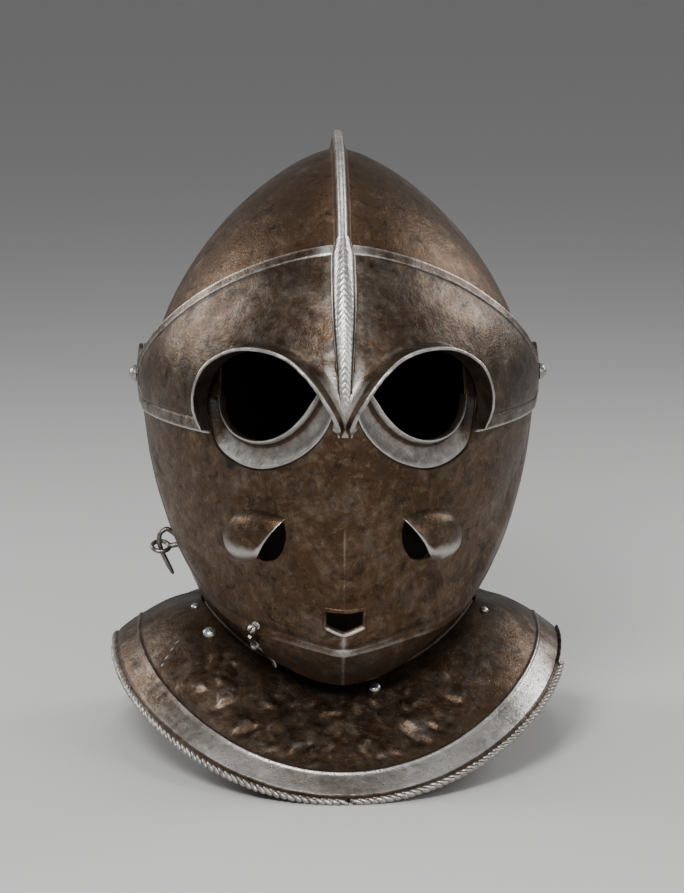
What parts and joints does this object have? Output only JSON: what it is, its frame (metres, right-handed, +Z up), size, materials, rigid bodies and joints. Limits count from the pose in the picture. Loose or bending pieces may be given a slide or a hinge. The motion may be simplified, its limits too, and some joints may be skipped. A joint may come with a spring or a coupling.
{
  "type": "close helmet",
  "caption": "Closed steel helmet of pivoted plates: combed skull, hooded brow plate, mask-like face plate, bevor with hooks, and a flared two-part gorget.",
  "frame": {"origin": "middle of the footprint, on the surface that the gorget rim stands on", "axes": "+Z up, the face looks along -Y, +X is the viewer's right from the front"},
  "size_m": [0.2553, 0.2846, 0.3383],
  "materials": {
    "skull_steel": "oxidised dark steel, burnished on the comb",
    "gorget_steel": "oxidised brown steel with a burnished band inside the rim",
    "jaw_steel": "oxidised brown steel",
    "mask_steel": "oxidised brown steel, burnished on its edges",
    "brow_steel": "oxidised brown steel, burnished along the hoods",
    "bolt_steel": "worn steel",
    "hook_steel": "worn steel",
    "rivet_steel": "bright worn steel"
  },
  "bodies": {
    "skull_body": {"skull": "skull_steel", "gorget_rear": "gorget_steel", "pivot_bolt_left": "bolt_steel", "pivot_bolt_right": "bolt_steel", "nape_rivet_left": "rivet_steel", "nape_rivet_centre": "rivet_steel", "nape_rivet_right": "rivet_steel"},
    "bevor_body": {"bevor": "jaw_steel", "gorget_front": "gorget_steel", "gorget_rivet_left_rear": "rivet_steel", "gorget_rivet_left": "rivet_steel", "gorget_rivet_centre": "rivet_steel", "gorget_rivet_right": "rivet_steel", "side_stud": "hook_steel", "side_hook": "hook_steel", "chin_hook_rivet": "rivet_steel"},
    "visor_body": {"face_plate": "mask_steel", "chin_stud": "hook_steel"},
    "brow_body": {"brow_plate": "brow_steel"},
    "chin_hook_body": {"chin_hook": "hook_steel"}
  },
  "joints": [
    {"name": "bevor_lift", "type": "hinge", "parent": "skull_body", "child": "bevor_body", "pos_m": [0, 0.00985, 0.204], "axis": [-1, 0, 0], "range_deg": [0, 35]},
    {"name": "visor_lift", "type": "hinge", "parent": "bevor_body", "child": "visor_body", "pos_m": [0, 0.00985, 0.204], "axis": [-1, 0, 0], "range_deg": [0, 60]},
    {"name": "brow_lift", "type": "hinge", "parent": "visor_body", "child": "brow_body", "pos_m": [0, 0.00985, 0.204], "axis": [-1, 0, 0], "range_deg": [0, 20]},
    {"name": "chin_hook_turn", "type": "hinge", "parent": "bevor_body", "child": "chin_hook_body", "pos_m": [-0.04471, -0.07026, 0.07121], "axis": [-0.5793, -0.4098, -0.7046], "range_deg": [0, 70]}
  ]
}
